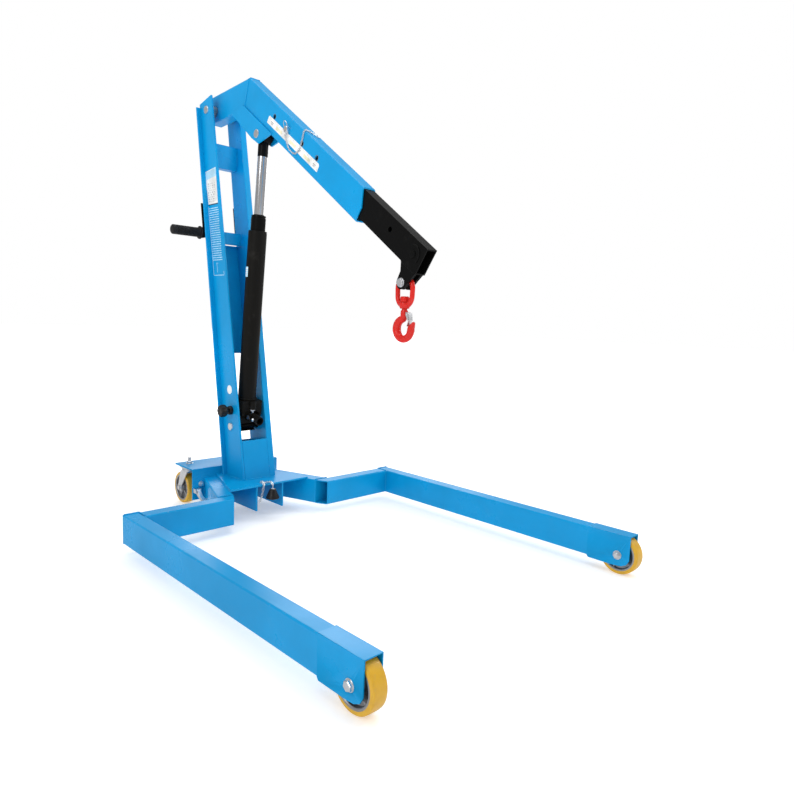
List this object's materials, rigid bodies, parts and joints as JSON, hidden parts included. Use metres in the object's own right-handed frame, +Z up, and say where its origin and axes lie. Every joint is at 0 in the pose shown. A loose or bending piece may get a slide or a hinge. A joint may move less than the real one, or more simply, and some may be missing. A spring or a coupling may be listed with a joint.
{
  "type": "workshop crane",
  "caption": "Hand-hydraulic workshop crane with parallel wheeled legs, leaning mast, cranked telescopic boom, ram and swivel hook.",
  "frame": {"origin": "on the floor, under the middle of the crane's overall length and width", "axes": "+Z up, -Y from the mast towards the hook and the leg tips, -X the release-knob side"},
  "size_m": [1.143, 1.636, 1.6066],
  "materials": {
    "blue_paint": "gloss",
    "black_paint": "satin",
    "grip_rubber": "matte",
    "black_plastic": "satin",
    "zinc_plate": "zinc plated",
    "bare_steel": "machined",
    "rod_chrome": "polished",
    "red_paint": "gloss",
    "amber_tread": "cast polyurethane",
    "wheel_iron": "machined and zinc washed"
  },
  "bodies": {
    "chassis": {"leg_left": "blue_paint", "leg_right": "blue_paint", "leg_end_caps": "blue_paint", "wheel_housings": "blue_paint", "cross_arms": "blue_paint", "chassis_braces": "blue_paint", "chassis_ribs": "blue_paint", "foot_plate": "blue_paint", "castor_bridge": "blue_paint", "castor_plates": "zinc_plate", "castor_kingpins": "zinc_plate", "front_axles": "zinc_plate", "mast_web_left": "blue_paint", "mast_web_right": "blue_paint", "mast_cross_plates": "blue_paint", "mast_foot_plates": "blue_paint", "pivot_pin": "zinc_plate", "pivot_spacers": "bare_steel", "ram_base_pin": "zinc_plate", "handle_straps": "black_paint", "handle_bar": "black_paint", "handle_grips": "grip_rubber", "brake_pivots": "zinc_plate"},
    "boom": {"boom_rear": "blue_paint", "boom_front": "blue_paint", "ram_bracket": "blue_paint", "ram_top_pin": "zinc_plate"},
    "lock_pin": {"lock_pin": "zinc_plate"},
    "extension": {"extension_tube": "black_paint", "hanger_fork": "black_paint", "hanger_bolt": "zinc_plate"},
    "bow": {"hook_bow": "red_paint"},
    "hook": {"hook": "red_paint", "swivel_nut": "red_paint"},
    "latch": {"hook_latch": "zinc_plate"},
    "ram_rod": {"ram_piston": "bare_steel", "ram_rod": "rod_chrome", "rod_end": "black_paint"},
    "ram": {"ram_cylinder": "black_paint", "gland_collar": "black_paint", "base_lug": "black_paint", "pump_block": "black_paint"},
    "pump_lever": {"lever_socket": "black_paint"},
    "plunger": {"pump_plunger": "bare_steel"},
    "release_valve": {"release_knob": "black_plastic"},
    "park_knob": {"park_knob": "black_plastic"},
    "front_wheel_left": {"front_tyre_left": "amber_tread", "front_hub_left": "wheel_iron"},
    "castor_left": {"castor_fork_left": "zinc_plate", "castor_axle_left": "zinc_plate"},
    "castor_wheel_left": {"castor_tyre_left": "amber_tread", "castor_hub_left": "wheel_iron"},
    "brake_left": {"brake_pedal_left": "zinc_plate"},
    "front_wheel_right": {"front_tyre_right": "amber_tread", "front_hub_right": "wheel_iron"},
    "castor_right": {"castor_fork_right": "zinc_plate", "castor_axle_right": "zinc_plate"},
    "castor_wheel_right": {"castor_tyre_right": "amber_tread", "castor_hub_right": "wheel_iron"},
    "brake_right": {"brake_pedal_right": "zinc_plate"}
  },
  "joints": [
    {"name": "boom_lift", "type": "hinge", "parent": "chassis", "child": "boom", "pos_m": [0, 0.7505, 1.5345], "axis": [-1, 0, 0], "range_deg": [-30, 40]},
    {"name": "rod_pivot", "type": "hinge", "parent": "boom", "child": "ram_rod", "pos_m": [0, 0.4432, 1.39961], "axis": [-1, 0, 0], "range_deg": [-43, 33]},
    {"name": "ram_extend", "type": "slide", "parent": "ram_rod", "child": "ram", "axis": [0, 0.1051, -0.9945], "range_m": [-0.16, 0.2125]},
    {"name": "extension_slide", "type": "slide", "parent": "boom", "child": "extension", "axis": [0, -0.8131, -0.5821], "range_m": [-0.1, 0.2]},
    {"name": "lock_pin_pull", "type": "slide", "parent": "boom", "child": "lock_pin", "axis": [-1, 0, 0], "range_m": [0, 0.065]},
    {"name": "bow_swing", "type": "hinge", "parent": "extension", "child": "bow", "pos_m": [0, -0.30358, 0.86313], "axis": [-1, 0, 0], "range_deg": [-75, 59]},
    {"name": "hook_swivel", "type": "hinge", "parent": "bow", "child": "hook", "pos_m": [0, -0.30358, 0.8], "axis": [0, 0, 1], "continuous": true},
    {"name": "latch_open", "type": "hinge", "parent": "hook", "child": "latch", "pos_m": [0, -0.32058, 0.774], "axis": [1, 0, 0], "range_deg": [0, 30], "stiffness_Nm_per_rad": 0.08, "springref_deg": -28.65},
    {"name": "front_wheel_spin_left", "type": "hinge", "parent": "chassis", "child": "front_wheel_left", "pos_m": [-0.5385, -0.7555, 0.0625], "axis": [1, 0, 0], "continuous": true},
    {"name": "castor_swivel_left", "type": "hinge", "parent": "chassis", "child": "castor_left", "pos_m": [-0.15, 0.7215, 0.14], "axis": [0, 0, 1], "continuous": true},
    {"name": "castor_spin_left", "type": "hinge", "parent": "castor_left", "child": "castor_wheel_left", "pos_m": [-0.15, 0.7555, 0.0625], "axis": [1, 0, 0], "continuous": true},
    {"name": "brake_press_left", "type": "hinge", "parent": "chassis", "child": "brake_left", "pos_m": [-0.176, 0.6025, 0.082], "axis": [1, 0, 0], "range_deg": [0, 15]},
    {"name": "front_wheel_spin_right", "type": "hinge", "parent": "chassis", "child": "front_wheel_right", "pos_m": [0.5385, -0.7555, 0.0625], "axis": [1, 0, 0], "continuous": true},
    {"name": "castor_swivel_right", "type": "hinge", "parent": "chassis", "child": "castor_right", "pos_m": [0.15, 0.7215, 0.14], "axis": [0, 0, 1], "continuous": true},
    {"name": "castor_spin_right", "type": "hinge", "parent": "castor_right", "child": "castor_wheel_right", "pos_m": [0.15, 0.7555, 0.0625], "axis": [1, 0, 0], "continuous": true},
    {"name": "brake_press_right", "type": "hinge", "parent": "chassis", "child": "brake_right", "pos_m": [0.176, 0.6025, 0.082], "axis": [1, 0, 0], "range_deg": [0, 15]},
    {"name": "release_turn", "type": "hinge", "parent": "chassis", "child": "release_valve", "pos_m": [-0.09, 0.5545, 0.3915], "axis": [-1, 0, 0], "range_deg": [0, 180]},
    {"name": "pump_stroke", "type": "hinge", "parent": "ram", "child": "pump_lever", "pos_m": [0, 0.49598, 0.36736], "axis": [-1, 0, 0], "range_deg": [0, 30]},
    {"name": "plunger_stroke", "type": "slide", "parent": "ram", "child": "plunger", "axis": [0, -0.1051, 0.9945], "range_m": [-0.0075, 0]},
    {"name": "park_knob_swing", "type": "hinge", "parent": "chassis", "child": "park_knob", "pos_m": [-0.012, 0.3405, 0.133], "axis": [-1, 0, 0], "range_deg": [-15, 50]}
  ],
  "couplings": [
    {"joint": "rod_pivot", "follows": "boom_lift", "ratio": -1.06},
    {"joint": "ram_extend", "follows": "boom_lift", "m_per_rad": 0.30252},
    {"joint": "plunger_stroke", "follows": "pump_stroke", "m_per_rad": -0.014}
  ]
}
